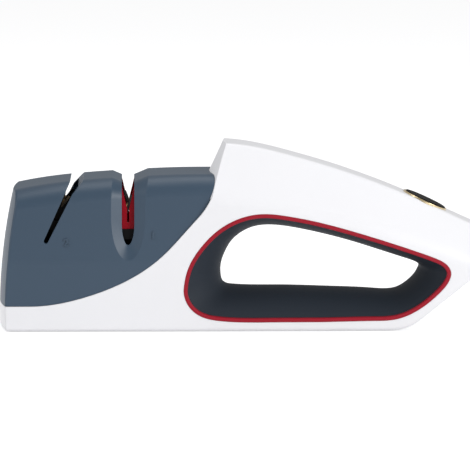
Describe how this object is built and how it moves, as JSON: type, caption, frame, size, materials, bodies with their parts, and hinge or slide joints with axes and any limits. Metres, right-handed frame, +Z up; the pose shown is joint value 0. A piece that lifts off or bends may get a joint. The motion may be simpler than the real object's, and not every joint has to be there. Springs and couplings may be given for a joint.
{
  "type": "pull-through knife sharpener",
  "caption": "Two-stage pull-through knife sharpener with a finger-loop handle, a slotted nose cover and free-turning crossed abrasive wheels in each slot.",
  "frame": {"origin": "middle of the bounding box in plan, on the surface that the feet stand on", "axes": "+X along the handle from the nose to the tail, +Z up, -Y the pictured left side"},
  "size_m": [0.2351, 0.0486, 0.0865],
  "materials": {
    "white_plastic": "satin gloss",
    "slate_plastic": "satin",
    "red_trim": "satin",
    "grip_rubber": "matte",
    "red_carrier": "gloss",
    "black_plastic": "matte",
    "coarse_ceramic": "fine grained",
    "fine_ceramic": "fine grained",
    "steel": "brushed",
    "bronze": "satin",
    "pale_gold": "polished",
    "badge_black": "gloss",
    "foot_rubber": "matte"
  },
  "bodies": {
    "housing": {"body_shell_left": "white_plastic", "body_shell_right": "white_plastic", "nose_cover": "slate_plastic", "mechanism_frame": "black_plastic", "coarse_carrier": "red_carrier", "fine_carrier": "black_plastic", "coarse_axle_left": "steel", "coarse_axle_right": "steel", "fine_axle_left": "steel", "fine_axle_right": "steel", "grip_liner": "grip_rubber", "trim_ring_left": "red_trim", "trim_ring_right": "red_trim", "badge_bezel": "pale_gold", "badge_disc": "badge_black", "nose_screws": "steel", "carrier_screws": "steel", "foot_pads": "foot_rubber"},
    "coarse_left_wheel": {"coarse_wheel_left": "coarse_ceramic", "coarse_hub_left": "bronze"},
    "coarse_right_wheel": {"coarse_wheel_right": "coarse_ceramic", "coarse_hub_right": "bronze"},
    "fine_left_wheel": {"fine_wheel_left": "fine_ceramic", "fine_hub_left": "bronze"},
    "fine_right_wheel": {"fine_wheel_right": "fine_ceramic", "fine_hub_right": "bronze"}
  },
  "joints": [
    {"name": "coarse_left_spin", "type": "hinge", "parent": "housing", "child": "coarse_left_wheel", "pos_m": [-0.05844, -0.0079, 0.05478], "axis": [0.9537, 0, -0.3007], "continuous": true},
    {"name": "coarse_right_spin", "type": "hinge", "parent": "housing", "child": "coarse_right_wheel", "pos_m": [-0.05615, 0.0079, 0.05478], "axis": [-0.9537, 0, -0.3007], "continuous": true},
    {"name": "fine_left_spin", "type": "hinge", "parent": "housing", "child": "fine_left_wheel", "pos_m": [-0.08914, -0.0065, 0.05705], "axis": [0.729, 0, -0.6845], "continuous": true},
    {"name": "fine_right_spin", "type": "hinge", "parent": "housing", "child": "fine_right_wheel", "pos_m": [-0.08729, 0.0065, 0.05616], "axis": [-0.9898, 0, 0.1426], "continuous": true}
  ]
}
